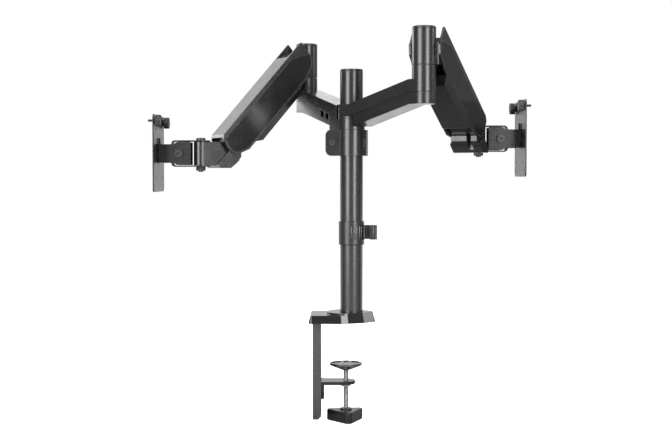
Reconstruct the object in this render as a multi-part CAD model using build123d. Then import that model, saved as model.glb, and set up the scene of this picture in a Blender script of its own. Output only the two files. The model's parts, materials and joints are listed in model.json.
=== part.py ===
from build123d import *
from math import cos, hypot, radians, sin, tan
import os

os.makedirs("parts", exist_ok=True)

# A dual monitor arm on a pole. Millimetres, +Z up, origin on the pole's axis at the desk's top.

# Fits
RUN = 0.05
SLIDE = 0.3

# Pole
POLE_R = 17.5
POLE_WALL = 2.0
POLE_TOP = 384.0
CAP_THICK = 3.5
CAP_SPIGOT = 10.0
PLUG_THICK = 13.5

# Base, its outline given for the front half and mirrored to the back
PAD_THICK = 1.5
PLATE_THICK = 5.0
PLATE_RIGHT = 24.0
PLATE_HALF = 24.0
PLATE_CORNER = 11.0
BASE_FRONT = [(-66, -39), (-16, -42), (-5, -38.5), (19, -27), (37, -9)]
BASE_FOOT = 0.3
BASE_TOP = 15.5
BLOCK_TOP = 12.5
BASE_TAPER = 16.0
BASE_CORNER = 1.0
RAISED_R = 38.0
POLE_BOLT_R = 4.0
POLE_BOLT_HEAD_R = 6.5
POLE_BOLT_HEAD = 3.0

# Desk clamp
BACK_FACE = -46.5
BACK_THICK = 4.0
BACK_DEPTH = 13.0
BACK_HALF = 28.0
BACK_LOW = -147.5
BACK_CHAMFER = 4.5
FLANGE_THICK = 3.0
TAB_HALF = 18.0
TAB_RIGHT = -22.0
TAB_THICK = 4.0
JAW_TOP = -91.0
JAW_THICK = 5.0
JAW_HALF = 20.0
JAW_RIGHT = 6.0
JAW_LEG = 26.0
JAW_LEG_THICK = 4.5
JAW_LEG_HALF = 22.0
JAW_BOLT_R = 3.0
JAW_BOLT_HEAD_R = 5.0
JAW_BOLT_HEAD = 3.5
JAW_BOLT_DROP = 15.0
JAW_BOLT_HALF = 12.0
SCREW_X = -8.5
SCREW_R = 4.0
NUT_FLATS = 13.0
NUT_THICK = 4.0
PAD_R = 25.0
PAD_TOP = -64.0
PAD_RIM = 3.2
PAD_HUB_R = 8.0
PAD_DEPTH = 10.5
DISH_R = 22.0
DISH_DEPTH = 1.2
KNOB_TOP = -137.0
KNOB_THICK = 17.0
KNOB_CORNER_R = 7.0
KNOB_REACH = 24.0
KNOB_BOSS_R = 9.0
KNOB_BOSS = 3.0
KNOB_TURN = -82.0
KNOB_EDGE = 1.5

# Collar that carries the arms, and the cable clip
COLLAR_LOW = 255.0
COLLAR_TOP = 295.0
COLLAR_WALL = 2.8
COLLAR_GAP = 1.0
EAR_LEFT = -40.0
EAR_THICK = 11.0
EAR_CORNER = 9.0
EAR_BOLT_X = -30.0
EAR_BOLT_R = 3.0
EAR_HEAD_R = 5.0
EAR_HEAD = 2.5
HINGE_X = 22.0
HINGE_R = 3.0
HINGE_PIN_R = 1.5
CLIP_LOW = 118.5
CLIP_TALL = 36.5
CLIP_WALL = 2.3
CLIP_EDGE = 1.0
CLIP_BAND = 1.3
BAND_LEFT = -3.0
BAND_RIGHT = 14.0
HOOK_RIGHT = 39.0
HOOK_FRONT = -14.0
HOOK_BACK = 8.0
HOOK_LOW = 127.0
HOOK_TALL = 21.5
HOOK_WALL = 2.5
HOOK_MOUTH = 8.0

# Extension arms, along +X from the pole to the elbow
REACH = 157.4
HUB_R = 20.5
POST_R = 17.5
HUB_LOWER = 17.0
HUB_SKIN = 0.25
HUB_UPPER = 21.0
BAR_RISE = 31.0
BAR_UPPER = 18.0
COVER_TALL = 18.0
COVER_INSET = 0.6
COVER_WALL = 2.5
HUB_CLEAR = 2.5
HUB_FLAT = 14.0
NECK_X = 36.0
NOTCH_LONG = 11.0
NOTCH_DEEP = 9.0
POST_RISE = 50.0
PIN_R = 8.0
PIN_TALL = 48.0
WASHER_THICK = 1.5
WASHER_R = 16.3

# Elbow knuckle and spring arm, along +X from the elbow to the head
KNUCKLE_TALL = 51.5
ELBOW_CAP = 4.0
ELBOW_CAP_EDGE = 1.5
LIFT_X = 21.0
LIFT_RISE = 23.5
LINK_DROP = 14.0
SPRING_DROP = 12.0
TONGUE_HALF = 21.5
TONGUE_UPPER_R = 17.0
TONGUE_LOWER_R = 9.0
LIFT_PIN_R = 4.0
LINK_PIN_R = 3.0
SPRING_PIN_R = 2.0
ARM = 169.0
CASE_WALL = 3.0
CASE_TOP = 22.8
CASE_LOW = -25.0
CASE_INNER = 22.0
CASE_OPEN = 10.0
CASE_REAR = [(-20.0, 4.0), (-19.0, -8.0), (-10.0, -18.0)]
CASE_REAR_TOP = -23.0
CASE_REAR_LOW = 16.0
CASE_REAR_ROUND = 1.5
CASE_NOSE_R = 22.0
CASE_NOSE = [(-2.0, -25.0), (10.0, -19.6), (19.0, 11.1), (17.7, 18.2), (10.5, 22.8)]
PANEL_INSET = 2.6
PANEL_DROP = 3.4
PANEL_REAR = [(13.7, 21.3), (-24.3, 0.3)]
PANEL_SEAT = 1.0
PANEL_THICK = 1.4
PANEL_SEAM = 0.2
UNDER_START = 28.0
UNDER_END = 150.5
UNDER_DEEP = 10.0
UNDER_SLOPE = 1.2
UNDER_DRAFT = 6.0
UNDER_WALL = 2.5
LINK_Y = -8.0
LINK_THICK = 6.0
LINK_R = 6.0
LINK_OPEN = 0.4
SPRING_Y = 9.0
SPRING_Z = -9.9
SPRING_R = 7.5
SPRING_ROD_R = 4.0
SPRING_FRONT = 146.0
SPRING_LONG = 86.0
LUG_THICK = 4.0
EYE_THICK = 6.0
EYE_HALF = 6.5
EYE_LONG = 22.0
EYE_TALL = 15.0
EYE_SLOT_HALF = 1.2
EYE_SLOT_TALL = 5.2
SLOT_ROOM = 0.5
EYE_ROOM = 8.5
TONGUE_ROOT = 4.0
ROD_IN = 36.0

# Head
HEAD_FORWARD = 53.1
HEAD_DROP = 22.9
BARREL_R = 11.0
BARREL_TALL = 37.0
HEAD_ARM_HALF = 12.0
HEAD_WEDGE = [
    (14.0, -18.0),
    (33.0, -40.0),
    (31.0, -45.5),
    (12.0, -45.5),
    (1.0, -36.5),
    (-7.0, -28.0),
    (-7.0, -18.0),
]
HEAD_ROOM = 1.4
HEAD_LIFT = 33.0
STUB_IN = 13.5
PAN_PIN_R = 4.0
PAN_HEAD_R = 7.5
PAN_HEAD = 4.0
PAN_NUT_FLATS = 13.0
PAN_NUT = 6.0
PAN_TAIL = 2.0
STRAP_THICK = 2.0
STRAP_HALF = 15.0
STRAP_LONG = 45.0
STRAP_BEND = 6.0
TILT_X = 32.8
TILT_R = 4.0
BLOCK_R = 9.0
EAR_PLATE = 3.0
EAR_START = 14.5
EAR_HALF = 18.0
EAR_SHOULDER = 36.0
NECK_HALF = 14.5
NECK_SLOPE = 4.0
HEAD_BACK = 64.8
HEAD_BACK_THICK = 2.5
TAB_TALL = 10.0
TAB_WIDE = 16.0
TILT_HEAD_R = 6.5
TILT_HEAD = 4.0
TILT_NUT_FLATS = 12.0
TILT_NUT = 5.0
VESA_SIDE = 120.0
VESA_THICK = 2.0
VESA_CORNER = 8.0
VESA_SMALL = 75.0
VESA_LARGE = 100.0
VESA_HOLE_R = 2.4
VESA_BOSS_R = 16.0
VESA_BOSS = 1.0
ROLL_R = 5.0
ROLL_HEAD_R = 8.0
ROLL_HEAD = 2.5
FACE_GAP = 0.1
THUMB_R = 9.0
THUMB_HEAD = 8.0
THUMB_NECK_R = 5.0
THUMB_NECK = 2.0
THUMB_PIN_R = 1.95
THUMB_STICK = 8.0

# Where each arm stands: degrees round Z for the extension, the spring arm and the head,
# and degrees below level for the spring arm
POSES = {
    "right": {"hub": -49.1, "elbow": 61.7, "pitch": 37.2, "head": 0.0, "ring": "upper", "bolt": -1},
    "left": {"hub": 117.2, "elbow": 208.1, "pitch": 48.1, "head": 180.0, "ring": "lower", "bolt": 1},
}

PLATE_LOW = PAD_THICK
PLATE_TOP = PLATE_LOW + PLATE_THICK
HUB_SPLIT = COLLAR_TOP + HUB_LOWER
HUB_TOP = HUB_SPLIT + HUB_UPPER
POST_TOP = HUB_TOP + POST_RISE
PIN_TOP = POST_TOP + PIN_TALL
WASHER_TOP = POST_TOP + WASHER_THICK
KNUCKLE_TOP = WASHER_TOP + KNUCKLE_TALL
LIFT_Z = WASHER_TOP + LIFT_RISE
FAR = 600.0


def slab(x0, x1, y0, y1, z0, z1):
    place = Pos((x0 + x1) / 2, (y0 + y1) / 2, (z0 + z1) / 2)
    return place * Box(abs(x1 - x0), abs(y1 - y0), abs(z1 - z0))


def rod(r, z0, z1, x=0.0, y=0.0):
    return Pos(x, y, (z0 + z1) / 2) * Cylinder(r, z1 - z0)


def rod_x(r, x0, x1, y=0.0, z=0.0):
    return Pos((x0 + x1) / 2, y, z) * Rot(0, 90, 0) * Cylinder(r, x1 - x0)


def rod_y(r, y0, y1, x=0.0, z=0.0):
    return Pos(x, (y0 + y1) / 2, z) * Rot(90, 0, 0) * Cylinder(r, y1 - y0)


def disc(r, x=0.0, z=0.0):
    return Pos(x, z) * Circle(r)


def hull(*shapes):
    edges = ShapeList()
    for shape in shapes:
        edges += shape.edges()
    return make_hull(edges)


def upright(face, y0, y1):
    # A face drawn in X and Z, as thick as y0 to y1
    return Pos(0, (y0 + y1) / 2, 0) * Rot(90, 0, 0) * extrude(face, amount=(y1 - y0) / 2, both=True)


def hexagon(flats):
    return RegularPolygon(flats / 2, 6, major_radius=False)


def turned(points):
    # A solid of revolution round Z, from its radius and height points
    face = make_face(Polyline(*[(r, 0, z) for r, z in points], close=True))
    return revolve(face, Axis.Z)


def save(name, *solids):
    shape = solids[0] if len(solids) == 1 else Compound(children=[Solid(s.solid().wrapped) for s in solids])
    export_step(shape, os.path.join("parts", name + ".step"))


# Base and pole


def plate_outline(inset=0.0):
    left = BACK_FACE + SLIDE + inset
    right = PLATE_RIGHT - inset
    half = PLATE_HALF - inset
    face = Pos((left + right) / 2, 0) * Rectangle(right - left, 2 * half)
    return fillet(face.vertices(), PLATE_CORNER - inset)


def base_plate():
    plate = Pos(0, 0, PLATE_LOW) * extrude(plate_outline(), amount=PLATE_THICK)
    plate -= rod(POLE_BOLT_HEAD_R + SLIDE, PLATE_LOW, PLATE_LOW + POLE_BOLT_HEAD)
    return plate - rod(POLE_BOLT_R + RUN, PLATE_LOW, PLATE_TOP)


def desk_pad():
    return extrude(plate_outline(1.0), amount=PAD_THICK)


def base_cover():
    back = [(x, -y) for x, y in reversed(BASE_FRONT)]
    tall = BASE_TOP - BASE_FOOT
    # The corners are rounder at the foot, because the taper draws them in towards the top
    foot_corner = BASE_CORNER + tall * tan(radians(BASE_TAPER))
    outline = fillet(Polygon(*BASE_FRONT, *back, align=None).vertices(), foot_corner)
    body = Pos(0, 0, BASE_FOOT) * extrude(outline, amount=tall, taper=BASE_TAPER)
    block_cut = slab(-FAR, FAR, -FAR, FAR, BLOCK_TOP, FAR) - rod(RAISED_R, BLOCK_TOP, FAR)
    body -= block_cut
    # Lower pocket round the plate, upper pocket round the clamp's tab
    body -= extrude(plate_outline(-SLIDE), amount=PLATE_TOP)
    neck_left = BACK_FACE - BACK_THICK - SLIDE
    tab_top = PLATE_TOP + TAB_THICK + SLIDE
    body -= slab(neck_left, 0, -TAB_HALF - SLIDE, TAB_HALF + SLIDE, 0, PLATE_TOP)
    body -= slab(neck_left, TAB_RIGHT + SLIDE, -TAB_HALF - SLIDE, TAB_HALF + SLIDE, 0, tab_top)
    return body - rod(POLE_R + SLIDE, 0, BASE_TOP)


def pole():
    tube = rod(POLE_R, PLATE_TOP, POLE_TOP) - rod(POLE_R - POLE_WALL, PLATE_TOP + PLUG_THICK, POLE_TOP)
    return tube - rod(POLE_BOLT_R + RUN, PLATE_TOP, PLATE_TOP + PLUG_THICK)


def pole_cap():
    cap = rod(POLE_R, POLE_TOP, POLE_TOP + CAP_THICK)
    cap = fillet(cap.edges().group_by(Axis.Z)[-1], 1.2)
    return cap + rod(POLE_R - POLE_WALL - RUN, POLE_TOP - CAP_SPIGOT, POLE_TOP)


def pole_bolt():
    head_top = PLATE_LOW + POLE_BOLT_HEAD
    bolt = rod(POLE_BOLT_HEAD_R, PLATE_LOW, head_top)
    bolt += rod(POLE_BOLT_R, head_top, PLATE_TOP + PLUG_THICK)
    return bolt - Pos(0, 0, PLATE_LOW) * extrude(hexagon(POLE_BOLT_R), amount=POLE_BOLT_HEAD / 2)


# Desk clamp


def clamp_back_plate():
    left = BACK_FACE - BACK_DEPTH
    web_left = BACK_FACE - BACK_THICK
    side = Polygon(
        (left, BACK_LOW),
        (BACK_FACE - BACK_CHAMFER, BACK_LOW),
        (BACK_FACE, BACK_LOW + BACK_CHAMFER),
        (BACK_FACE, 0),
        (left, 0),
        align=None,
    )
    body = upright(side, -BACK_HALF, BACK_HALF)
    inner = BACK_HALF - FLANGE_THICK
    body -= slab(left, web_left, -inner, inner, BACK_LOW, 0)
    body += slab(web_left, BACK_FACE, -TAB_HALF, TAB_HALF, 0, PLATE_TOP + TAB_THICK)
    body += slab(web_left, TAB_RIGHT, -TAB_HALF, TAB_HALF, PLATE_TOP, PLATE_TOP + TAB_THICK)
    for y in (-JAW_BOLT_HALF, JAW_BOLT_HALF):
        body -= rod_x(JAW_BOLT_R + RUN, left, BACK_FACE, y, JAW_TOP - JAW_BOLT_DROP)
    return body


def clamp_bracket():
    low = JAW_TOP - JAW_THICK
    leg_right = BACK_FACE + JAW_LEG_THICK
    body = slab(BACK_FACE, leg_right, -JAW_LEG_HALF, JAW_LEG_HALF, JAW_TOP - JAW_LEG, JAW_TOP)
    end = JAW_RIGHT - JAW_HALF
    body += slab(BACK_FACE, end, -JAW_HALF, JAW_HALF, low, JAW_TOP) + rod(JAW_HALF, low, JAW_TOP, end)
    body -= rod(SCREW_R + SLIDE, low, JAW_TOP, SCREW_X)
    for y in (-JAW_BOLT_HALF, JAW_BOLT_HALF):
        body -= rod_x(JAW_BOLT_R + RUN, BACK_FACE, leg_right, y, JAW_TOP - JAW_BOLT_DROP)
    return body


def clamp_bolts():
    head_right = BACK_FACE - BACK_THICK
    z = JAW_TOP - JAW_BOLT_DROP
    bolts = []
    for y in (-JAW_BOLT_HALF, JAW_BOLT_HALF):
        bolt = rod_x(JAW_BOLT_HEAD_R, head_right - JAW_BOLT_HEAD, head_right, y, z)
        bolts.append(bolt + rod_x(JAW_BOLT_R, head_right, BACK_FACE + JAW_LEG_THICK, y, z))
    return bolts


def clamp_nut():
    low = JAW_TOP - JAW_THICK - NUT_THICK
    nut = Pos(SCREW_X, 0, low) * extrude(hexagon(NUT_FLATS), amount=NUT_THICK)
    return nut - rod(SCREW_R + RUN, low, low + NUT_THICK, SCREW_X)


def clamp_pad():
    low = PAD_TOP - PAD_DEPTH
    pad = turned(
        [
            (0, PAD_TOP - DISH_DEPTH),
            (DISH_R, PAD_TOP - DISH_DEPTH),
            (DISH_R, PAD_TOP),
            (PAD_R, PAD_TOP),
            (PAD_R, PAD_TOP - PAD_RIM),
            (PAD_HUB_R, low),
            (0, low),
        ]
    )
    pad -= rod(SCREW_R + RUN, low, PAD_TOP - PAD_RIM - SLIDE)
    return Pos(SCREW_X, 0, 0) * pad


def clamp_screw():
    return rod(SCREW_R, KNOB_TOP - KNOB_THICK / 2, PAD_TOP - PAD_RIM - 2 * SLIDE, SCREW_X)


def clamp_knob():
    corners = [Rot(0, 0, 120 * i) * Pos(KNOB_REACH, 0) * Circle(KNOB_CORNER_R) for i in range(3)]
    knob = Pos(0, 0, KNOB_TOP - KNOB_THICK) * extrude(hull(*corners), amount=KNOB_THICK)
    knob = chamfer(knob.edges().group_by(Axis.Z)[0] + knob.edges().group_by(Axis.Z)[-1], KNOB_EDGE)
    knob += rod(KNOB_BOSS_R, KNOB_TOP, KNOB_TOP + KNOB_BOSS)
    knob -= rod(SCREW_R + RUN, KNOB_TOP - KNOB_THICK / 2, KNOB_TOP + KNOB_BOSS)
    return Pos(SCREW_X, 0, 0) * Rot(0, 0, KNOB_TURN) * knob


# Collar and clip on the pole


def collar_half(front):
    low, top = COLLAR_LOW, COLLAR_TOP
    side = -1 if front else 1
    body = rod(POLE_R + COLLAR_WALL, low, top)
    ear = Pos(EAR_LEFT / 2, (low + top) / 2) * Rectangle(-EAR_LEFT, top - low)
    ear = fillet(ear.vertices().group_by(Axis.X)[0], EAR_CORNER)
    body += upright(ear, -EAR_THICK, EAR_THICK)
    keep = slab(-FAR, FAR, side * COLLAR_GAP / 2, side * FAR, low, top)
    body = body & keep
    middle = (low + top) / 2
    third = (top - low) / 3
    # The hinge's knuckles: one in the middle on the front half, two outside on the rear half
    spans = [(low + third, top - third)] if front else [(low, low + third), (top - third, top)]
    for z0, z1 in spans:
        body -= rod(HINGE_R + SLIDE, low, top, HINGE_X)
    for z0, z1 in spans:
        body += rod(HINGE_R, z0 + SLIDE / 2, z1 - SLIDE / 2, HINGE_X)
        body += slab(POLE_R, HINGE_X, 0, side * HINGE_R, z0 + SLIDE / 2, z1 - SLIDE / 2)
    body -= rod(HINGE_PIN_R + RUN, low, top, HINGE_X)
    body -= rod(POLE_R + RUN, low, top)
    body -= rod_y(EAR_BOLT_R + RUN, -FAR, FAR, EAR_BOLT_X, middle)
    return body


def collar_bolt():
    middle = (COLLAR_LOW + COLLAR_TOP) / 2
    bolt = rod_y(EAR_BOLT_R, -EAR_THICK, EAR_THICK, EAR_BOLT_X, middle)
    head = rod_y(EAR_HEAD_R, -EAR_THICK - EAR_HEAD, -EAR_THICK, EAR_BOLT_X, middle)
    socket = Pos(EAR_BOLT_X, -EAR_THICK - EAR_HEAD, middle) * Rot(-90, 0, 0)
    return bolt + head - socket * extrude(hexagon(EAR_BOLT_R * 1.4), amount=EAR_HEAD * 0.7)


def collar_pin():
    return rod(HINGE_PIN_R, COLLAR_LOW, COLLAR_TOP, HINGE_X)


def cable_clip():
    top = CLIP_LOW + CLIP_TALL
    outer = POLE_R + CLIP_WALL
    ring = rod(outer, CLIP_LOW, top)
    ring = chamfer(ring.edges().filter_by(GeomType.CIRCLE), CLIP_EDGE)
    hook_top = HOOK_LOW + HOOK_TALL
    hook = Pos((outer - CLIP_WALL + HOOK_RIGHT) / 2, (HOOK_FRONT + HOOK_BACK) / 2, HOOK_LOW)
    hook_face = Rectangle(HOOK_RIGHT - outer + CLIP_WALL, HOOK_BACK - HOOK_FRONT)
    loop = hook * extrude(fillet(hook_face.vertices(), HOOK_WALL), amount=HOOK_TALL)
    inner = (outer, HOOK_RIGHT - HOOK_WALL, HOOK_FRONT + HOOK_WALL, HOOK_BACK - HOOK_WALL)
    loop -= slab(*inner, HOOK_LOW, hook_top)
    loop -= slab(outer, outer + HOOK_MOUTH, HOOK_FRONT, HOOK_FRONT + HOOK_WALL, HOOK_LOW, hook_top)
    band = rod(outer + CLIP_BAND, HOOK_LOW, hook_top)
    band &= slab(BAND_LEFT, BAND_RIGHT, -FAR, 0, HOOK_LOW, hook_top)
    return ring + loop + band - rod(POLE_R + RUN, CLIP_LOW, top)


# Extension arm


def sloped(under, over):
    # The side view between two heights at the hub, both rising towards the elbow
    def line(z):
        turn = REACH - HUB_FLAT
        return [(-FAR, z), (HUB_FLAT, z), (turn, z + BAR_RISE), (FAR, z + BAR_RISE)]

    return upright(Polygon(*line(under), *reversed(line(over)), align=None), -FAR, FAR)


def bar_plan(inset=0.0):
    return hull(disc(HUB_R - inset), disc(POST_R - inset, REACH))


def extension_arm(ring):
    low = HUB_TOP - BAR_UPPER
    tall = Pos(0, 0, COLLAR_TOP) * extrude(bar_plan(), amount=POST_TOP - COLLAR_TOP)
    bar = tall & sloped(low, HUB_TOP)
    if ring == "upper":
        bar -= rod(HUB_R + HUB_CLEAR, COLLAR_TOP, HUB_SPLIT + HUB_SKIN)
        bar += rod(HUB_R, HUB_SPLIT + HUB_SKIN, HUB_TOP)
    else:
        neck = tall & slab(0, NECK_X, -FAR, FAR, COLLAR_TOP, HUB_TOP - HUB_SKIN)
        bar += neck & sloped(COLLAR_TOP - BAR_RISE, HUB_TOP)
        bar -= rod(HUB_R + HUB_CLEAR, HUB_SPLIT - HUB_SKIN, FAR)
        bar += rod(HUB_R, COLLAR_TOP, HUB_SPLIT - HUB_SKIN)
    bar += rod(POST_R, low + BAR_RISE, POST_TOP, REACH)
    bar += rod(PIN_R, POST_TOP, PIN_TOP, REACH)
    return bar - rod(POLE_R + RUN, COLLAR_TOP, POST_TOP)


def cover_start(ring):
    return HUB_R + HUB_CLEAR + 1 if ring == "upper" else NECK_X + SLIDE


def extension_cover(ring):
    over = HUB_TOP - BAR_UPPER
    under = over - COVER_TALL
    start = cover_start(ring)
    tall = Pos(0, 0, under) * extrude(bar_plan(COVER_INSET), amount=COVER_TALL + BAR_RISE)
    keep = slab(start, FAR, -FAR, FAR, under, FAR) - rod(HUB_R + HUB_CLEAR, under, FAR)
    cover = tall & sloped(under, over) & keep
    hollow = Pos(0, 0, under) * extrude(bar_plan(COVER_INSET + COVER_WALL), amount=COVER_TALL + BAR_RISE)
    hollow = hollow & slab(start + COVER_WALL, REACH - POST_R, -FAR, FAR, under, FAR)
    cover -= hollow & sloped(under + COVER_WALL, over)
    # Two cable mouths through one side wall, near the hub
    for step in (0, 1):
        x = start + 2 * COVER_WALL + 1.6 * NOTCH_LONG * step
        cover -= slab(x, x + NOTCH_LONG, 0, FAR, over - NOTCH_DEEP, FAR) & sloped(over - NOTCH_DEEP, over)
    return cover


def elbow_washer():
    ring = rod(WASHER_R, POST_TOP, WASHER_TOP, REACH)
    return ring - rod(PIN_R + RUN, POST_TOP, WASHER_TOP, REACH)


# Elbow and spring arm


def elbow_knuckle():
    lift, link = (LIFT_X, LIFT_Z), (LIFT_X, LIFT_Z - LINK_DROP)
    root = Pos(TONGUE_ROOT, (lift[1] + link[1]) / 2) * Rectangle(1, LINK_DROP + 2 * TONGUE_LOWER_R)
    tongue = hull(disc(TONGUE_UPPER_R, *lift), disc(TONGUE_LOWER_R, *link), root)
    body = upright(tongue, -TONGUE_HALF, TONGUE_HALF)
    half = LINK_THICK / 2 + SLOT_ROOM
    body -= slab(LIFT_X - LINK_R - SLOT_ROOM, FAR, LINK_Y - half, LINK_Y + half, 0, FAR)
    body += rod(POST_R, WASHER_TOP, KNUCKLE_TOP)
    body -= slab(LIFT_X - LINK_R - SLOT_ROOM, FAR, LINK_Y - half, LINK_Y + half, 0, LIFT_Z + TONGUE_UPPER_R)
    half = max(EYE_THICK / 2, SPRING_ROD_R) + SLOT_ROOM
    body -= slab(EYE_ROOM, FAR, SPRING_Y - half, SPRING_Y + half, 0, LIFT_Z + TONGUE_UPPER_R)
    body -= rod(PIN_R + RUN, WASHER_TOP, KNUCKLE_TOP)
    body -= rod_y(LIFT_PIN_R + RUN, STUB_IN, FAR, *lift)
    body -= rod_y(LIFT_PIN_R + RUN, -FAR, -STUB_IN, *lift)
    body -= rod_y(LINK_PIN_R + RUN, -TONGUE_HALF, 0, *link)
    return body - rod_y(SPRING_PIN_R + RUN, 0, TONGUE_HALF, LIFT_X, LIFT_Z - SPRING_DROP)


def elbow_cap():
    cap = rod(POST_R, KNUCKLE_TOP, KNUCKLE_TOP + ELBOW_CAP)
    cap = chamfer(cap.edges().group_by(Axis.Z)[-1], ELBOW_CAP_EDGE)
    return cap + rod(PIN_R - RUN, PIN_TOP + SLIDE, KNUCKLE_TOP)


def stubs(x, z):
    # A pair of short pins, one for each wall of the casing
    reach = CASE_INNER + CASE_WALL - PANEL_SEAT
    return [rod_y(LIFT_PIN_R, STUB_IN, reach, x, z), rod_y(LIFT_PIN_R, -reach, -STUB_IN, x, z)]


def arm_pins():
    link = rod_y(LINK_PIN_R, -TONGUE_HALF, 0, LIFT_X, LIFT_Z - LINK_DROP)
    spring = rod_y(SPRING_PIN_R, 0, TONGUE_HALF, LIFT_X, LIFT_Z - SPRING_DROP)
    return stubs(LIFT_X, LIFT_Z) + [link, spring]


def case_nose():
    # The foot and the top of the nose keep to the casing's own edges
    foot, toe, brow, front, lip = CASE_NOSE
    return [(foot[0], CASE_LOW), toe, brow, front, (lip[0], CASE_TOP)]


def case_side():
    # The casing's side view, from the lift pivot at the origin to the head pivot
    body = Polygon(
        (CASE_REAR_TOP, CASE_TOP),
        *CASE_REAR,
        (CASE_REAR_LOW, CASE_LOW),
        *[(ARM + u, w) for u, w in case_nose()],
        align=None,
    )
    body = fillet(body.vertices().group_by(Axis.X)[0], CASE_REAR_ROUND)
    return body + disc(CASE_NOSE_R, ARM)


def panel_face(inset):
    # The panel stays below a seam along the top edge, and in front of a seam across the rear
    seam = CASE_TOP - PANEL_DROP
    front, rear = PANEL_REAR
    slope = (front[1] - rear[1]) / (front[0] - rear[0])
    start = front[0] + (seam - front[1]) / slope
    keep = Polygon(
        (start, seam),
        (FAR, seam),
        (FAR, -FAR),
        (-FAR, -FAR),
        (-FAR, seam - slope * (start + FAR)),
        align=None,
    )
    return offset(case_side() & keep, amount=-inset)


def arm_casing():
    outer = CASE_INNER + CASE_WALL
    body = upright(case_side(), -outer, outer)
    body -= slab(-FAR, FAR, -CASE_INNER, CASE_INNER, -FAR, CASE_TOP - CASE_WALL)
    # The top is open over the elbow
    body -= slab(-FAR, CASE_OPEN, -CASE_INNER, CASE_INNER, -FAR, FAR)
    for side in (-1, 1):
        near, far = sorted((side * (outer - PANEL_SEAT), side * (outer + 1)))
        body -= upright(panel_face(PANEL_INSET), near, far)
    lug_low = SPRING_Z - SPRING_R
    body += slab(SPRING_FRONT, SPRING_FRONT + LUG_THICK, 0, CASE_INNER, lug_low, CASE_TOP - CASE_WALL)
    for x in (0, ARM):
        body -= rod_y(LIFT_PIN_R + RUN, -FAR, FAR, x, 0)
    return body


def arm_side_panels():
    seat = CASE_INNER + CASE_WALL - PANEL_SEAT
    face = panel_face(PANEL_INSET + PANEL_SEAM)
    return [upright(face, seat, seat + PANEL_THICK), upright(face, -seat - PANEL_THICK, -seat)]


def arm_lower_cover():
    outer = CASE_INNER + CASE_WALL
    low = CASE_LOW - UNDER_DEEP
    start, end = UNDER_START + UNDER_SLOPE * UNDER_DEEP, UNDER_END - UNDER_SLOPE * UNDER_DEEP
    side = Polygon((UNDER_START, CASE_LOW), (UNDER_END, CASE_LOW), (end, low), (start, low), align=None)
    across = Polygon(
        (-outer, CASE_LOW),
        (outer, CASE_LOW),
        (outer - UNDER_DRAFT, low),
        (UNDER_DRAFT - outer, low),
        align=None,
    )
    body = upright(side, -outer, outer) & extrude(Plane.YZ * across, amount=FAR, both=True)
    inner = outer - UNDER_DRAFT - UNDER_WALL
    return body - slab(start, end, -inner, inner, low + UNDER_WALL, CASE_LOW)


def link_rod():
    bar = upright(hull(disc(LINK_R), disc(LINK_R, ARM)), LINK_Y - LINK_THICK / 2, LINK_Y + LINK_THICK / 2)
    bar -= rod_y(LINK_PIN_R + RUN, -FAR, FAR, 0, 0)
    return bar - rod_y(LINK_PIN_R + LINK_OPEN, -FAR, FAR, ARM, 0)


def gas_spring_cylinder():
    start = SPRING_FRONT - SPRING_LONG
    body = rod_x(SPRING_R, start, SPRING_FRONT, SPRING_Y, SPRING_Z)
    end = SPRING_FRONT - SPRING_R
    return body - rod_x(SPRING_ROD_R + RUN, start, end, SPRING_Y, SPRING_Z)


def gas_spring_rod(pitch):
    # The eye stands where the spring's pin is, with a slot for the pin's rise and fall
    x = SPRING_DROP * sin(radians(pitch))
    eye_x = x + EYE_LONG - EYE_HALF
    y0, y1 = SPRING_Y - EYE_THICK / 2, SPRING_Y + EYE_THICK / 2
    body = slab(x - EYE_HALF, eye_x, y0, y1, SPRING_Z - EYE_TALL / 2, SPRING_Z + EYE_TALL / 2)
    half = SPRING_PIN_R + EYE_SLOT_HALF
    tall = EYE_SLOT_TALL / 2 + SPRING_PIN_R
    body -= slab(x - half, x + half, y0, y1, SPRING_Z - tall, SPRING_Z + tall)
    return body + rod_x(SPRING_ROD_R, eye_x, SPRING_FRONT - SPRING_LONG + ROD_IN, SPRING_Y, SPRING_Z)


# Head, from the spring arm's front pivot


def head_knuckle():
    low = -HEAD_DROP - BARREL_TALL / 2
    high = low + BARREL_TALL
    outer = CASE_INNER + CASE_WALL
    body = upright(Polygon(*HEAD_WEDGE, align=None), -outer, outer)
    # The cheeks leave room for the casing's nose, down to its highest lift
    for near, far in ((TONGUE_HALF, FAR), (-FAR, -TONGUE_HALF)):
        body -= upright(disc(CASE_NOSE_R + HEAD_ROOM), near, far)
        body -= Rot(0, -HEAD_LIFT, 0) * slab(-FAR, 0, near, far, CASE_LOW - SLOT_ROOM, FAR)
    body += upright(disc(TONGUE_UPPER_R), -TONGUE_HALF, TONGUE_HALF)
    body += upright(disc(TONGUE_LOWER_R, 0, -LINK_DROP), -TONGUE_HALF, TONGUE_HALF)
    body += slab(TONGUE_LOWER_R, HEAD_FORWARD, -HEAD_ARM_HALF, HEAD_ARM_HALF, low, high)
    body += rod(BARREL_R, low, high, HEAD_FORWARD)
    half = LINK_THICK / 2 + SLOT_ROOM
    body -= slab(-FAR, LINK_R + SLOT_ROOM, LINK_Y - half, LINK_Y + half, -FAR, FAR)
    body -= rod(PAN_PIN_R + RUN, low, high, HEAD_FORWARD)
    body -= rod_y(LIFT_PIN_R + RUN, STUB_IN, FAR)
    body -= rod_y(LIFT_PIN_R + RUN, -FAR, -STUB_IN)
    return body - rod_y(LINK_PIN_R + RUN, -TONGUE_HALF, 0, 0, -LINK_DROP)


def head_pins():
    return stubs(0, 0) + [rod_y(LINK_PIN_R, -TONGUE_HALF, 0, 0, -LINK_DROP)]


# The next pieces stand on the pan axis, with z = 0 at the head's middle


def strap_half():
    return BARREL_TALL / 2 + SLIDE + STRAP_THICK


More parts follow.
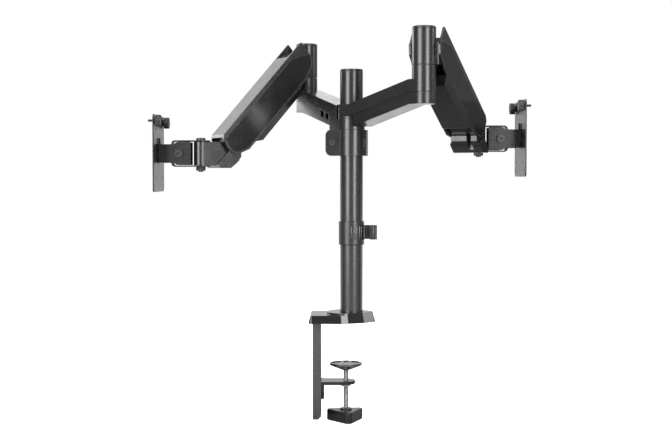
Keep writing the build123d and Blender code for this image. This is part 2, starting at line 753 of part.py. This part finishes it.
def pan_bolt():
    top = strap_half()
    head = rod(PAN_HEAD_R, top, top + PAN_HEAD)
    head = fillet(head.edges().group_by(Axis.Z)[-1], PAN_HEAD / 2)
    bolt = head + rod(PAN_PIN_R, -top - PAN_NUT - PAN_TAIL, top)
    nut = Pos(0, 0, -top - PAN_NUT) * extrude(hexagon(PAN_NUT_FLATS), amount=PAN_NUT)
    return [bolt, nut - rod(PAN_PIN_R + RUN, -top - PAN_NUT, -top)]


def pan_bracket():
    outer = strap_half()
    inner = outer - STRAP_THICK
    legs = slab(0, STRAP_LONG, -STRAP_HALF, STRAP_HALF, -outer, outer)
    bends = legs.edges().filter_by(Axis.Y).group_by(Axis.X)[-1]
    legs = fillet(bends, STRAP_BEND)
    gap = slab(-FAR, STRAP_LONG - STRAP_THICK, -FAR, FAR, -inner, inner)
    gap = fillet(gap.edges().filter_by(Axis.Y).group_by(Axis.X)[-1], STRAP_BEND - STRAP_THICK)
    body = legs - gap
    for z in (-outer, inner):
        body += rod(STRAP_HALF, z, z + STRAP_THICK)
    block = hull(disc(BLOCK_R, TILT_X), Pos(STRAP_LONG - STRAP_THICK, 0) * Rectangle(1, 2 * BLOCK_R))
    body += upright(block, -STRAP_HALF, STRAP_HALF)
    body -= rod(PAN_PIN_R + RUN, -outer, outer)
    return body - rod_y(TILT_R + RUN, -FAR, FAR, TILT_X, 0)


def tilt_bracket():
    side = Polygon(
        (EAR_START, -EAR_HALF),
        (EAR_SHOULDER, -EAR_HALF),
        (EAR_SHOULDER + NECK_SLOPE, -NECK_HALF),
        (HEAD_BACK, -NECK_HALF),
        (HEAD_BACK, NECK_HALF),
        (EAR_SHOULDER + NECK_SLOPE, NECK_HALF),
        (EAR_SHOULDER, EAR_HALF),
        (EAR_START, EAR_HALF),
        align=None,
    )
    inner = STRAP_HALF + SLIDE
    outer = inner + EAR_PLATE
    body = upright(side, -outer, outer)
    back = HEAD_BACK - HEAD_BACK_THICK
    body -= slab(-FAR, back, -inner, inner, -FAR, FAR)
    body += slab(back, HEAD_BACK, -TAB_WIDE / 2, TAB_WIDE / 2, 0, NECK_HALF + TAB_TALL)
    body -= rod_y(TILT_R + RUN, -FAR, FAR, TILT_X, 0)
    return body - rod_x(ROLL_R + RUN, back, HEAD_BACK)


def tilt_bolt(side):
    outer = STRAP_HALF + SLIDE + EAR_PLATE + FACE_GAP
    end = outer + TILT_NUT
    bolt = rod_y(TILT_R, -outer, end, TILT_X, 0) + rod_y(TILT_HEAD_R, -outer - TILT_HEAD, -outer, TILT_X, 0)
    socket = Pos(TILT_X, -outer - TILT_HEAD, 0) * Rot(-90, 0, 0)
    bolt -= socket * extrude(hexagon(TILT_R), amount=TILT_HEAD / 2)
    nut = Pos(TILT_X, outer, 0) * Rot(-90, 0, 0) * extrude(hexagon(TILT_NUT_FLATS), amount=TILT_NUT)
    nut -= rod_y(TILT_R + RUN, outer, end, TILT_X, 0)
    turn = Rot(0, 0, 0) if side < 0 else Pos(TILT_X, 0, 0) * Rot(180, 0, 0) * Pos(-TILT_X, 0, 0)
    return [turn * bolt, turn * nut]


def vesa_back():
    return HEAD_BACK + FACE_GAP + VESA_BOSS


def corners(spacing):
    half = spacing / 2
    return [(y, z) for y in (-half, half) for z in (-half, half)]


def vesa_plate():
    back = vesa_back()
    face = Rectangle(VESA_SIDE, VESA_SIDE)
    face = fillet(face.vertices(), VESA_CORNER)
    body = Pos(back, 0, 0) * Rot(0, 90, 0) * extrude(face, amount=VESA_THICK)
    body += rod_x(VESA_BOSS_R, back - VESA_BOSS, back)
    for y, z in corners(VESA_SMALL) + corners(VESA_LARGE):
        body -= rod_x(VESA_HOLE_R, back, back + VESA_THICK, y, z)
    return body - rod_x(ROLL_R + RUN, back - VESA_BOSS, back + VESA_THICK)


def roll_bolt():
    inner = HEAD_BACK - HEAD_BACK_THICK - FACE_GAP
    front = vesa_back() + VESA_THICK
    return rod_x(ROLL_HEAD_R, inner - ROLL_HEAD, inner) + rod_x(ROLL_R, inner, front)


def thumb_screws():
    back = vesa_back()
    screws = []
    for y, z in corners(VESA_LARGE):
        if z < 0:
            continue
        neck = rod_x(THUMB_NECK_R, back - THUMB_NECK, back, y, z)
        head = rod_x(THUMB_R, back - THUMB_NECK - THUMB_HEAD, back - THUMB_NECK, y, z)
        screws.append(neck + head + rod_x(THUMB_PIN_R, back, back + VESA_THICK + THUMB_STICK, y, z))
    return screws


# The whole object

save("base_plate", base_plate())
save("base_cover", base_cover())
save("desk_pad", desk_pad())
save("pole", pole())
save("pole_cap", pole_cap())
save("pole_bolt", pole_bolt())
save("clamp_back_plate", clamp_back_plate())
save("clamp_bracket", clamp_bracket())
save("clamp_bolts", *clamp_bolts())
save("clamp_nut", clamp_nut())
save("clamp_pad", clamp_pad())
save("clamp_screw", clamp_screw())
save("clamp_knob", clamp_knob())
save("collar_front", collar_half(True))
save("collar_rear", collar_half(False))
save("collar_bolt", collar_bolt())
save("collar_pin", collar_pin())
save("cable_clip", cable_clip())

for side, pose in POSES.items():
    hub = Rot(0, 0, pose["hub"])
    turn = radians(pose["hub"])
    elbow = Pos(REACH * cos(turn), REACH * sin(turn), 0) * Rot(0, 0, pose["elbow"])
    arm = elbow * Pos(LIFT_X, 0, LIFT_Z) * Rot(0, pose["pitch"], 0)
    link = elbow * Pos(LIFT_X, 0, LIFT_Z - LINK_DROP) * Rot(0, pose["pitch"], 0)
    pitch = radians(pose["pitch"])
    front_x, front_z = LIFT_X + ARM * cos(pitch), LIFT_Z - ARM * sin(pitch)
    head = elbow * Pos(front_x, 0, front_z)
    spin = Rot(0, 0, pose["head"] - pose["elbow"])
    pan = elbow * Pos(front_x + HEAD_FORWARD, 0, front_z - HEAD_DROP) * spin

    pieces = {
        "extension_arm": (hub, [extension_arm(pose["ring"])]),
        "extension_cover": (hub, [extension_cover(pose["ring"])]),
        "elbow_washer": (hub, [elbow_washer()]),
        "elbow_knuckle": (elbow, [elbow_knuckle()]),
        "elbow_cap": (elbow, [elbow_cap()]),
        "arm_pins": (elbow, arm_pins()),
        "arm_casing": (arm, [arm_casing()]),
        "arm_side_panels": (arm, arm_side_panels()),
        "arm_lower_cover": (arm, [arm_lower_cover()]),
        "gas_spring_cylinder": (arm, [gas_spring_cylinder()]),
        "gas_spring_rod": (arm, [gas_spring_rod(pose["pitch"])]),
        "link_rod": (link, [link_rod()]),
        "head_knuckle": (head, [head_knuckle()]),
        "head_pins": (head, head_pins()),
        "pan_bolt": (pan, pan_bolt()),
        "pan_bracket": (pan, [pan_bracket()]),
        "tilt_bracket": (pan, [tilt_bracket()]),
        "tilt_bolt": (pan, tilt_bolt(pose["bolt"])),
        "vesa_plate": (pan, [vesa_plate()]),
        "roll_bolt": (pan, [roll_bolt()]),
        "thumb_screws": (pan, thumb_screws()),
    }
    for name, (place, solids) in pieces.items():
        save(side + "_" + name, *[place * solid for solid in solids])
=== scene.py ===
import bmesh
import bpy
import json
import math
from mathutils import Matrix, Vector


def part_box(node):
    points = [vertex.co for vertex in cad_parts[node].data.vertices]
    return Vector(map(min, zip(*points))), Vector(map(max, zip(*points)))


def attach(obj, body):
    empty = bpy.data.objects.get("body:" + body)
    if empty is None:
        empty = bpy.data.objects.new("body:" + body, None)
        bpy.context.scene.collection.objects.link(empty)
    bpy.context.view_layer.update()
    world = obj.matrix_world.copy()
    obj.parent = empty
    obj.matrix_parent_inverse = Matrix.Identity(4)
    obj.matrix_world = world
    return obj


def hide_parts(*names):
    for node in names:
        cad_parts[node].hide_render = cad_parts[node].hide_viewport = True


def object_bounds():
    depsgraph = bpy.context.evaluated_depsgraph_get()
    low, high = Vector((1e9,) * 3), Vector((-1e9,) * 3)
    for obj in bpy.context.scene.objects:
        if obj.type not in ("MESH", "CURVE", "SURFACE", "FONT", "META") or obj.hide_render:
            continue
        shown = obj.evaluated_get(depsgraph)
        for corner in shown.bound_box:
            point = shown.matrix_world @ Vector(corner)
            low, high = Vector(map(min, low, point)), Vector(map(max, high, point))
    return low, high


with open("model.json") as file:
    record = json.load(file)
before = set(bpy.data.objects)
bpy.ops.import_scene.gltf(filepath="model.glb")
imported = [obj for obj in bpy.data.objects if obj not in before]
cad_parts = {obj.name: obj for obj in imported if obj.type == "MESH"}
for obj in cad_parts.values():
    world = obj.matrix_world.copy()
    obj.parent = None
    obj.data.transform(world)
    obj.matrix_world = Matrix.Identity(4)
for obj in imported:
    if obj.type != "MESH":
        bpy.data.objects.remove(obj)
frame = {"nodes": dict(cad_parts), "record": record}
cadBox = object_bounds()
nodes = frame["nodes"]
record = frame["record"]
slotOf = {part["node"]: part["material_slot"] for part in record["subparts"]}
bodyOf = {name: body for body, members in record["behaviour"]["bodies"].items() for name in members}
sides = {"left": -1, "right": 1}  # which way along X each plate faces
mm = 0.001
print("frame loaded:", len(nodes), "CAD nodes")


# shader parts

mixSockets = {"RGBA": (6, 7, 2), "FLOAT": (2, 3, 0)}  # a Mix node's two inputs and its result


def addNode(tree, kind, **settings):
    made = tree.nodes.new(kind)
    for key, value in settings.items():
        if hasattr(made, key):
            setattr(made, key, value)
        else:
            made.inputs[key].default_value = value
    return made


def feed(tree, socket, value):
    if isinstance(value, bpy.types.NodeSocket):
        tree.links.new(value, socket)
    else:
        socket.default_value = value


def mixOf(tree, kind, share, first, second):
    mix = addNode(tree, "ShaderNodeMix", data_type=kind)
    low, high, result = mixSockets[kind]
    feed(tree, mix.inputs[0], share)
    feed(tree, mix.inputs[low], first)
    feed(tree, mix.inputs[high], second)
    return mix.outputs[result]


def mathOf(tree, operation, *values):
    made = addNode(tree, "ShaderNodeMath", operation=operation)
    for socket, value in zip(made.inputs, values):
        feed(tree, socket, value)
    return made.outputs[0]


def axisOf(tree, coords, axis):
    parts = addNode(tree, "ShaderNodeSeparateXYZ")
    tree.links.new(coords, parts.inputs[0])
    return parts.outputs[axis]


def noiseOf(tree, coords, size, detail=3.0, rough=0.55):
    noise = addNode(tree, "ShaderNodeTexNoise", Scale=1.0 / size, Detail=detail, Roughness=rough)
    tree.links.new(coords.outputs["Object"], noise.inputs["Vector"])
    return noise.outputs["Fac"]


def spread(tree, source, low, high, fromLow=0.3, fromHigh=0.7):
    ranged = addNode(tree, "ShaderNodeMapRange")
    ranged.inputs["From Min"].default_value = fromLow
    ranged.inputs["From Max"].default_value = fromHigh
    ranged.inputs["To Min"].default_value = low
    ranged.inputs["To Max"].default_value = high
    tree.links.new(source, ranged.inputs["Value"])
    return ranged.outputs["Result"]


# finishes

edgeFinder = {"samples": 8, "sharp": 0.82, "flat": 0.97}  # agreement of the rounded and the plain normal


def paint(name, look):
    finish = bpy.data.materials.new(name)
    finish.use_nodes = True
    tree = finish.node_tree
    shader = tree.nodes["Principled BSDF"]
    coords = addNode(tree, "ShaderNodeTexCoord")
    # colour drifts a little over the piece, and the edges turn paler: partly wear, partly a painted highlight along
    # them
    cloud = noiseOf(tree, coords, look["cloud"])
    drifted = [c * look["drift"] for c in look["colour"]]
    tone = mixOf(tree, "RGBA", spread(tree, cloud, 0, 1), (*look["colour"], 1), (*drifted, 1))
    rounded = addNode(tree, "ShaderNodeBevel", samples=edgeFinder["samples"], Radius=look["edge"])
    plain = addNode(tree, "ShaderNodeNewGeometry")
    across = addNode(tree, "ShaderNodeVectorMath", operation="DOT_PRODUCT")
    tree.links.new(rounded.outputs["Normal"], across.inputs[0])
    tree.links.new(plain.outputs["Normal"], across.inputs[1])
    # pale edge colour: partly wear, partly a painted highlight standing in for light caught by the edges
    wearAndHighlightMask = spread(tree, across.outputs["Value"], look["wearAndHighlightShare"], 0, edgeFinder["sharp"], edgeFinder["flat"])
    wornAndLitEdges = mixOf(tree, "RGBA", wearAndHighlightMask, tone, (*look["wornAndLitEdges"], 1))
    tree.links.new(wornAndLitEdges, shader.inputs["Base Color"])
    # fine grain in the surface, and a slower change of gloss
    smear = noiseOf(tree, coords, look["smear"], detail=5)
    low, high = look["gloss"]
    tree.links.new(spread(tree, smear, low, high), shader.inputs["Roughness"])
    grain = noiseOf(tree, coords, look["grain"], detail=2)
    bump = addNode(tree, "ShaderNodeBump", Strength=look["relief"], Distance=look["depth"])
    tree.links.new(grain, bump.inputs["Height"])
    tree.links.new(rounded.outputs["Normal"], bump.inputs["Normal"])
    tree.links.new(bump.outputs["Normal"], shader.inputs["Normal"])
    shader.inputs["Metallic"].default_value = look.get("metal", 0.0)
    shader.inputs["Specular IOR Level"].default_value = look.get("shine", 0.5)
    return finish


# each look's pale edge colour and its share paint the edges lighter, partly as wear and partly as a painted highlight,
# strongest on the gloss plastic, whose pale rims stand in for highlights along its edges
powderCoat = {"colour": (0.0045, 0.0045, 0.005), "drift": 1.3, "cloud": 0.03, "smear": 0.012,
              "gloss": (0.26, 0.32), "grain": 0.0006, "relief": 0.05, "depth": 0.00010,
              "edge": 0.0006, "wearAndHighlightShare": 0.2, "wornAndLitEdges": (0.03, 0.03, 0.032), "shine": 0.5}
castPaint = {"colour": (0.011, 0.011, 0.0115), "drift": 1.3, "cloud": 0.04, "smear": 0.015,
             "gloss": (0.22, 0.28), "grain": 0.0007, "relief": 0.05, "depth": 0.00010,
             "edge": 0.0008, "wearAndHighlightShare": 0.5, "wornAndLitEdges": (0.05, 0.05, 0.052), "shine": 0.5}
mouldedPlastic = {"colour": (0.007, 0.007, 0.0075), "drift": 1.25, "cloud": 0.05, "smear": 0.02,
                  "gloss": (0.26, 0.34), "grain": 0.0005, "relief": 0.16, "depth": 0.00008,
                  "edge": 0.0005, "wearAndHighlightShare": 0.15, "wornAndLitEdges": (0.04, 0.04, 0.042), "shine": 0.5}
glossPlastic = {"colour": (0.010, 0.010, 0.0105), "drift": 1.2, "cloud": 0.06, "smear": 0.03,
                "gloss": (0.10, 0.17), "grain": 0.006, "relief": 0.04, "depth": 0.00010,
                "edge": 0.0007, "wearAndHighlightShare": 0.7, "wornAndLitEdges": (0.10, 0.10, 0.102), "shine": 0.5}
rubberPad = {"colour": (0.014, 0.014, 0.014), "drift": 1.4, "cloud": 0.01, "smear": 0.008,
             "gloss": (0.62, 0.78), "grain": 0.0004, "relief": 0.4, "depth": 0.00012,
             "edge": 0.0005, "wearAndHighlightShare": 0.2, "wornAndLitEdges": (0.04, 0.04, 0.04), "shine": 0.3}
zincPlate = {"colour": (0.37, 0.37, 0.38), "drift": 0.82, "cloud": 0.006, "smear": 0.004,
             "gloss": (0.26, 0.38), "grain": 0.0006, "relief": 0.12, "depth": 0.00008,
             "edge": 0.0003, "wearAndHighlightShare": 0.3, "wornAndLitEdges": (0.4, 0.4, 0.41), "metal": 1.0}
blackOxide = {"colour": (0.014, 0.014, 0.015), "drift": 1.5, "cloud": 0.008, "smear": 0.005,
              "gloss": (0.26, 0.38), "grain": 0.0006, "relief": 0.12, "depth": 0.00008,
              "edge": 0.0004, "wearAndHighlightShare": 0.4, "wornAndLitEdges": (0.08, 0.08, 0.082), "shine": 0.5}
wetPaint = {**powderCoat, "gloss": (0.14, 0.20)}
satinSteel = {**powderCoat, "colour": (0.033, 0.033, 0.034)}
darkNickel = {**powderCoat, "colour": (0.085, 0.085, 0.087), "gloss": (0.18, 0.25),
              "wornAndLitEdges": (0.2, 0.2, 0.2), "metal": 1.0}
ribGloss = {**mouldedPlastic, "gloss": (0.10, 0.16), "shine": 1.0}
finishes = {
    "wet_black": paint("gloss_paint", wetPaint),
    "satin_steel": paint("satin_steel", satinSteel),
    "dark_nickel": paint("dark_nickel", darkNickel),
    "rib_gloss": paint("rib_gloss", ribGloss),
    "steel_black": paint("powder_coat_steel", powderCoat),
    "cast_black": paint("powder_coat_casting", castPaint),
    "plastic_black": paint("moulded_plastic", mouldedPlastic),
    "gloss_black": paint("gloss_plastic", glossPlastic),
    "rubber_black": paint("rubber", rubberPad),
    "zinc": paint("zinc_plate", zincPlate),
    "bolt_black": paint("black_oxide", blackOxide),
}
print("finishes made:", len(finishes))


# every CAD node takes the finish of its slot, and three clamp pieces their own

ownFinish = {"clamp_pad": "dark_nickel", "clamp_bracket": "wet_black", "clamp_back_plate": "satin_steel"}


def dressNode(name, finish):
    mesh = nodes[name].data
    mesh.materials.clear()
    mesh.materials.append(finish)


for name in nodes:
    dressNode(name, finishes[ownFinish.get(name, slotOf[name])])
print("CAD nodes dressed")


def addPiece(name, work, body, slot, smoothTo=40, finish=None):
    data = bpy.data.meshes.new(name)
    work.to_mesh(data)
    work.free()
    data.polygons.foreach_set("use_smooth", [True] * len(data.polygons))
    data.set_sharp_from_angle(angle=math.radians(smoothTo))
    data.materials.append(finish or finishes[slot])
    piece = bpy.data.objects.new(name, data)
    bpy.context.scene.collection.objects.link(piece)
    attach(piece, body)
    return piece


# clamp parts, covers, caps and brackets again, with their edges broken as the maker breaks them

brokenEdges = {"weld": 0.01 * mm, "flat": 0.3, "crisp": 38, "smooth": 50}  # angles in degrees
roundEdges = {"clamp_back_plate": 1.6, "clamp_bracket": 0.8, "pole_cap": 0.6, "extension_cover": 0.7,
              "arm_lower_cover": 0.6, "elbow_cap": 0.6, "pan_bracket": 0.5, "tilt_bracket": 0.5}


def roundedCopy(node, edge, segments=2):
    work = bmesh.new()
    work.from_mesh(nodes[node].data)
    bmesh.ops.remove_doubles(work, verts=work.verts, dist=brokenEdges["weld"])
    bmesh.ops.dissolve_limit(work, angle_limit=math.radians(brokenEdges["flat"]), verts=work.verts, edges=work.edges)
    crispFrom = math.radians(brokenEdges["crisp"])
    crisp = [e for e in work.edges if e.is_manifold and e.calc_face_angle() > crispFrom]
    bmesh.ops.bevel(work, geom=crisp, offset=edge, offset_type="OFFSET", affect="EDGES",
                    segments=segments, profile=0.5, clamp_overlap=True, material=-1)
    piece = addPiece(node + "_rounded", work, bodyOf[node], slotOf[node],
                     smoothTo=brokenEdges["smooth"], finish=nodes[node].data.materials[0])
    weighted = piece.modifiers.new("flat_faces", "WEIGHTED_NORMAL")
    weighted.keep_sharp = True
    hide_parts(node)


for node in nodes:
    plainName = node.split("_", 1)[1] if node.split("_")[0] in sides else node
    if plainName in roundEdges:
        roundedCopy(node, roundEdges[plainName] * mm)
print("edges broken")


# clamp spindle with its rolled thread

threadShape = {"flank": 0.4, "weld": 0.004 * mm, "core": 0.99}  # flank as a share of the pitch
spindle = {"crest": 3.95 * mm, "root": 3.35 * mm, "pitch": 1.25 * mm, "steps": 24, "smooth": 30}


def threadOnto(work, crest, root, pitch, low, high, steps):
    # one groove, drawn round and up the rod, that ends a turn before the rod does
    turns = int((high - low) / pitch) - 1
    flank = threadShape["flank"]
    groove = ((root, 0), (crest, flank), (crest, 1 - flank), (root, 1))
    start = [work.verts.new((r, 0, low + h * pitch)) for r, h in groove]
    edges = [work.edges.new(pair) for pair in zip(start, start[1:])]
    bmesh.ops.spin(work, geom=start + edges, cent=(0, 0, 0), axis=(0, 0, 1), dvec=(0, 0, pitch / steps),
                   angle=2 * math.pi * turns, steps=steps * turns, use_merge=False, use_duplicate=False)
    bmesh.ops.remove_doubles(work, verts=work.verts, dist=threadShape["weld"])
    # a core closes both ends
    inside = root * threadShape["core"]
    core = bmesh.ops.create_cone(work, cap_ends=True, segments=steps, radius1=inside, radius2=inside, depth=high - low)
    bmesh.ops.translate(work, verts=core["verts"], vec=(0, 0, (low + high) / 2))


def makeSpindle(look):
    low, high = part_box("clamp_screw")
    work = bmesh.new()
    threadOnto(work, look["crest"], look["root"], look["pitch"], 0, high[2] - low[2], look["steps"])
    bmesh.ops.recalc_face_normals(work, faces=work.faces)
    bmesh.ops.translate(work, verts=work.verts, vec=((low[0] + high[0]) / 2, (low[1] + high[1]) / 2, low[2]))
    piece = addPiece("clamp_screw_threaded", work, bodyOf["clamp_screw"], slotOf["clamp_screw"],
                     smoothTo=look["smooth"])
    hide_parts("clamp_screw")
    print("spindle threaded:", len(piece.data.polygons), "faces")


makeSpindle(spindle)


# thumbscrews with knurled heads

thumbScrew = {"headR": 9.0 * mm, "head": 8.0 * mm, "groove": 0.45 * mm, "teeth": 36, "rim": 1.6 * mm,
              "chamferIn": 0.56 * mm, "chamferDeep": 0.48 * mm, "dish": 0.8 * mm,
              "neckR": 5.0 * mm, "neck": 2.0 * mm, "neckSides": 32,
              "pinR": 1.95 * mm, "root": 1.6 * mm, "pitch": 0.7 * mm, "steps": 16,
              "apart": 100.0 * mm, "smooth": 30, "endOn": 0.9}  # endOn tells the flat ends from the chamfers


def knurledScrew(look, long):
    work = bmesh.new()
    grip = bmesh.ops.create_circle(work, cap_ends=True, segments=2 * look["teeth"], radius=look["headR"])
    bmesh.ops.scale(work, verts=grip["verts"][::2], vec=[1 - look["groove"] / look["headR"]] * 2 + [1])
    raised = bmesh.ops.extrude_face_region(work, geom=work.faces[:])["geom"]
    upper = [v for v in raised if isinstance(v, bmesh.types.BMVert)]
    bmesh.ops.translate(work, verts=upper, vec=(0, 0, look["head"]))
    work.normal_update()
    ends = [f for f in work.faces if abs(f.normal.z) > look["endOn"]]
    bmesh.ops.inset_region(work, faces=ends, thickness=look["chamferIn"], depth=look["chamferDeep"],
                           use_even_offset=True)
    work.normal_update()
    middle = look["head"] / 2
    flat = [f for f in work.faces if abs(f.normal.z) > look["endOn"]]
    outer = [f for f in flat if f.calc_center_median().z < middle]
    bmesh.ops.inset_region(work, faces=outer, thickness=look["rim"], depth=0)
    bmesh.ops.translate(work, verts=list({v for f in outer for v in f.verts}), vec=(0, 0, look["dish"]))
    neck = bmesh.ops.create_cone(work, cap_ends=True, segments=look["neckSides"],
                                 radius1=look["neckR"], radius2=look["neckR"], depth=look["neck"])
    bmesh.ops.translate(work, verts=neck["verts"], vec=(0, 0, look["head"] + look["neck"] / 2))
    shoulder = look["head"] + look["neck"]
    threadOnto(work, look["pinR"], look["root"], look["pitch"], shoulder, long, look["steps"])
    bmesh.ops.recalc_face_normals(work, faces=work.faces)
    # stands within the plain head's height
    bottom = min(v.co.z for v in work.verts)
    bmesh.ops.translate(work, verts=[v for v in work.verts if v.co.z < middle], vec=(0, 0, -bottom))
    return work


def makeThumbScrews(side, look):
    node = side + "_thumb_screws"
    low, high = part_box(node)
    facing = sides[side]
    start = low[0] if facing > 0 else high[0]
    whole = bmesh.new()
    for sign in (-1, 1):
        one = knurledScrew(look, high[0] - low[0])
        turn = Matrix.Rotation(math.radians(90 * facing), 4, "Y")
        place = Vector((start, (low[1] + high[1]) / 2 + sign * look["apart"] / 2, (low[2] + high[2]) / 2))
        bmesh.ops.transform(one, matrix=Matrix.Translation(place) @ turn, verts=one.verts)
        held = bpy.data.meshes.new("screw_part")
        one.to_mesh(held)
        one.free()
        whole.from_mesh(held)
        bpy.data.meshes.remove(held)
    piece = addPiece(node + "_knurled", whole, bodyOf[node], slotOf[node], smoothTo=look["smooth"])
    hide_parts(node)


for side in sides:
    makeThumbScrews(side, thumbScrew)
print("thumbscrews knurled")


# ribs on the band of the cable clip, and the bead on its hook

clipRibs = {"band": (-0.4, 4.8, 7.6, 12.4, 15.2), "ring": 21.0 * mm, "hook": (33.4 * mm, -13.9 * mm),
            "round": 0.85 * mm, "sides": 16, "low": 128.0 * mm, "tall": 19.5 * mm,
            "crisp": 60, "endRound": 0.4 * mm}  # band in mm across the front


def makeClipRibs(look):
    turns = [math.asin(across * mm / look["ring"]) for across in look["band"]]
    places = [(look["ring"] * math.sin(turn), -look["ring"] * math.cos(turn)) for turn in turns] + [look["hook"]]
    work = bmesh.new()
    for x, y in places:
        rib = bmesh.ops.create_cone(work, cap_ends=True, segments=look["sides"], radius1=look["round"],
                                    radius2=look["round"], depth=look["tall"])["verts"]
        bmesh.ops.translate(work, verts=rib, vec=(x, y, look["low"] + look["tall"] / 2))
    ends = [e for e in work.edges if e.calc_face_angle(0) > math.radians(look["crisp"])]
    bmesh.ops.bevel(work, geom=ends, offset=look["endRound"], offset_type="OFFSET", affect="EDGES",
                    segments=2, profile=0.5, material=-1)
    addPiece("cable_clip_ribs", work, "cable_clip", "plastic_black", finish=finishes["rib_gloss"])


makeClipRibs(clipRibs)
print("clip ribs made")


# studio

lampLook = {
    "overhead": {"at": (0.0, -0.2, 2.3), "aim": (0, 0, 0.25), "size": (2.6, 1.8), "power": 40},
    "leftBox": {"at": (-1.414, -1.685, 0.78), "aim": (0, 0, 0.4), "size": (1.2, 1.65), "power": 61},
    "rightBox": {"at": (1.133, -1.886, 0.78), "aim": (0, 0, 0.4), "size": (0.9, 1.65), "power": 51},
    "backLeft": {"at": (-1.55, 1.50, 0.64), "aim": (0, 0, 0.5), "size": (1.1, 0.6), "power": 9.5},
    "backTop": {"at": (-0.7, 2.3, 1.25), "aim": (0, 0, 0.35), "size": (2.2, 0.9), "power": 8.4},
    "sideRight": {"at": (3.0, 0.15, 1.12), "aim": (0, 0, 0.1), "size": (1.2, 0.7), "power": 16},
}


def makeLamp(name, look):
    lamp = bpy.data.lights.new(name, "AREA")
    lamp.shape = "RECTANGLE"
    lamp.size, lamp.size_y = look["size"]
    lamp.energy = look["power"]
    placed = bpy.data.objects.new(name, lamp)
    placed.location = look["at"]
    placed.rotation_euler = (Vector(look["aim"]) - Vector(look["at"])).to_track_quat("-Z", "Y").to_euler()
    bpy.context.scene.collection.objects.link(placed)


for name, look in lampLook.items():
    makeLamp(name, look)


def seenRays(tree):
    # one where the camera sees the surface, and one where a reflection or glass sees it too
    rays = addNode(tree, "ShaderNodeLightPath")
    direct = rays.outputs["Is Camera Ray"]
    seen = direct
    for more in ("Is Glossy Ray", "Is Transmission Ray"):
        seen = mathOf(tree, "MAXIMUM", seen, rays.outputs[more])
    return direct, seen


skyLook = {"fill": 0.30, "front": 0.20, "back": 0.80, "turn": (0.62, 0.94)}


def makeSky(look):
    world = bpy.data.worlds.new("studio")
    bpy.context.scene.world = world
    world.use_nodes = True
    tree = world.node_tree
    background = tree.nodes["Background"]
    background.inputs["Color"].default_value = (1, 1, 1, 1)
    # white sweep behind the object, a dimmer room in front of it
    direct, seen = seenRays(tree)
    heading = addNode(tree, "ShaderNodeTexCoord").outputs["Generated"]
    room = spread(tree, axisOf(tree, heading, "Y"), look["front"], look["back"], *look["turn"])
    shown = mathOf(tree, "MAXIMUM", room, direct)
    tree.links.new(mixOf(tree, "FLOAT", seen, look["fill"], shown), background.inputs["Strength"])


makeSky(skyLook)

floorLook = {"level": cadBox[0][2] - 0.0005, "half": 9.0, "colour": (0.86, 0.86, 0.86), "glow": 0.80, "matt": 0.9,
             "mirror": (0.25, 0.25, 0.25), "near": 0.05, "far": 1.5, "reach": (0.25, 0.8)}


def makeFloor(look):
    work = bmesh.new()
    bmesh.ops.create_grid(work, x_segments=1, y_segments=1, size=look["half"])
    bmesh.ops.translate(work, verts=work.verts, vec=(0, 0, look["level"]))
    data = bpy.data.meshes.new("floor")
    work.to_mesh(data)
    work.free()
    floor = bpy.data.objects.new("floor", data)
    bpy.context.scene.collection.objects.link(floor)
    finish = bpy.data.materials.new("pale_floor")
    finish.use_nodes = True
    tree = finish.node_tree
    shader = tree.nodes["Principled BSDF"]
    shader.inputs["Roughness"].default_value = look["matt"]
    shader.inputs["Specular IOR Level"].default_value = 0.0
    shader.inputs["Emission Color"].default_value = (1, 1, 1, 1)
    # white to the camera, and in reflections dim beside the object and bright before and behind it
    direct, seen = seenRays(tree)
    place = addNode(tree, "ShaderNodeTexCoord").outputs["Object"]
    away = mathOf(tree, "ABSOLUTE", axisOf(tree, place, "Y"))
    mirrored = spread(tree, away, look["near"], look["far"], *look["reach"])
    shown = mixOf(tree, "FLOAT", direct, mirrored, look["glow"])
    tone = mixOf(tree, "RGBA", direct, (*look["mirror"], 1), (*look["colour"], 1))
    tree.links.new(tone, shader.inputs["Base Color"])
    tree.links.new(mathOf(tree, "MULTIPLY", seen, shown), shader.inputs["Emission Strength"])
    data.materials.append(finish)


makeFloor(floorLook)
print("studio set")


# camera where the photograph was taken from, its focal length and drop in the photo's pixels

cameraLook = {"at": (-0.0238, -2.0, 0.226), "sensor": 36, "photoWide": 672, "focal": 1300, "drop": 45.2, "near": 0.05}


def makeCamera(look):
    camera = bpy.data.cameras.new("camera")
    camera.sensor_width = look["sensor"]
    camera.sensor_fit = "HORIZONTAL"
    camera.lens = look["sensor"] * look["focal"] / look["photoWide"]
    camera.clip_start = look["near"]
    shot = bpy.data.objects.new("camera", camera)
    shot.location = look["at"]
    shot.rotation_euler = (math.pi / 2 - math.atan(look["drop"] / look["focal"]), 0, 0)
    bpy.context.scene.collection.objects.link(shot)
    bpy.context.scene.camera = shot


makeCamera(cameraLook)
bpy.context.scene.view_settings.view_transform = "Standard"
print("camera set")
